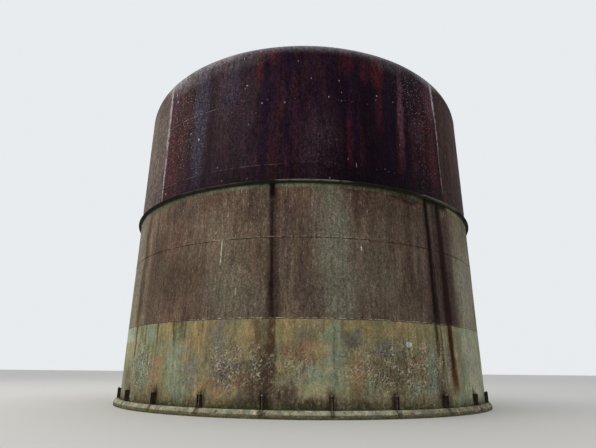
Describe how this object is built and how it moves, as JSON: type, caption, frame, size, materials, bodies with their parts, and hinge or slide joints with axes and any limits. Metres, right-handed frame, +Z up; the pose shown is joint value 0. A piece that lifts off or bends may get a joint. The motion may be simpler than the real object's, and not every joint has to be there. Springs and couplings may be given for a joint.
{
  "type": "ground-level steel water tank",
  "caption": "Round welded steel water tank on a concrete ring wall, with a stiffener ring, a rounded knuckle under a shallow cone roof, and anchor chairs round its foot.",
  "frame": {"origin": "centre of the ring wall's underside, on the tank's axis", "axes": "+Z up along the tank's axis, -Y towards the side that the picture shows"},
  "size_m": [18.5366, 18.5366, 16.3893],
  "materials": {
    "ring_wall_concrete": "weathered cast concrete",
    "worn_tan_paint": "worn, stained tan paint",
    "brown_rusted_paint": "brown rust through old paint",
    "maroon_rusted_paint": "dark maroon rust and old primer",
    "rusted_plate": "black-brown rust"
  },
  "bodies": {
    "root": {"ring_wall_1": "ring_wall_concrete", "ring_wall_2": "ring_wall_concrete", "ring_wall_3": "ring_wall_concrete", "ring_wall_4": "ring_wall_concrete", "bottom_plate": "rusted_plate", "shell_course_1_plate_1": "worn_tan_paint", "shell_course_1_plate_2": "worn_tan_paint", "shell_course_1_plate_3": "worn_tan_paint", "shell_course_1_plate_4": "worn_tan_paint", "shell_course_2_plate_1": "brown_rusted_paint", "shell_course_2_plate_2": "brown_rusted_paint", "shell_course_2_plate_3": "brown_rusted_paint", "shell_course_2_plate_4": "brown_rusted_paint", "shell_course_3_plate_1": "brown_rusted_paint", "shell_course_3_plate_2": "brown_rusted_paint", "shell_course_3_plate_3": "brown_rusted_paint", "shell_course_3_plate_4": "brown_rusted_paint", "shell_course_4_plate_1": "maroon_rusted_paint", "shell_course_4_plate_2": "maroon_rusted_paint", "shell_course_4_plate_3": "maroon_rusted_paint", "shell_course_4_plate_4": "maroon_rusted_paint", "shell_course_5_plate_1": "maroon_rusted_paint", "shell_course_5_plate_2": "maroon_rusted_paint", "shell_course_5_plate_3": "maroon_rusted_paint", "shell_course_5_plate_4": "maroon_rusted_paint", "knuckle_1": "maroon_rusted_paint", "knuckle_2": "maroon_rusted_paint", "knuckle_3": "maroon_rusted_paint", "knuckle_4": "maroon_rusted_paint", "roof_cone": "maroon_rusted_paint", "stiffener_ring_1": "rusted_plate", "stiffener_ring_2": "rusted_plate", "stiffener_ring_3": "rusted_plate", "stiffener_ring_4": "rusted_plate", "anchor_chair_01": "rusted_plate", "anchor_chair_02": "rusted_plate", "anchor_chair_03": "rusted_plate", "anchor_chair_04": "rusted_plate", "anchor_chair_05": "rusted_plate", "anchor_chair_06": "rusted_plate", "anchor_chair_07": "rusted_plate", "anchor_chair_08": "rusted_plate", "anchor_chair_09": "rusted_plate", "anchor_chair_10": "rusted_plate", "anchor_chair_11": "rusted_plate", "anchor_chair_12": "rusted_plate", "anchor_chair_13": "rusted_plate", "anchor_chair_14": "rusted_plate", "anchor_chair_15": "rusted_plate", "anchor_chair_16": "rusted_plate", "anchor_chair_17": "rusted_plate", "anchor_chair_18": "rusted_plate", "anchor_chair_19": "rusted_plate", "anchor_chair_20": "rusted_plate", "anchor_chair_21": "rusted_plate", "anchor_chair_22": "rusted_plate", "anchor_chair_23": "rusted_plate", "anchor_chair_24": "rusted_plate"}
  },
  "joints": []
}
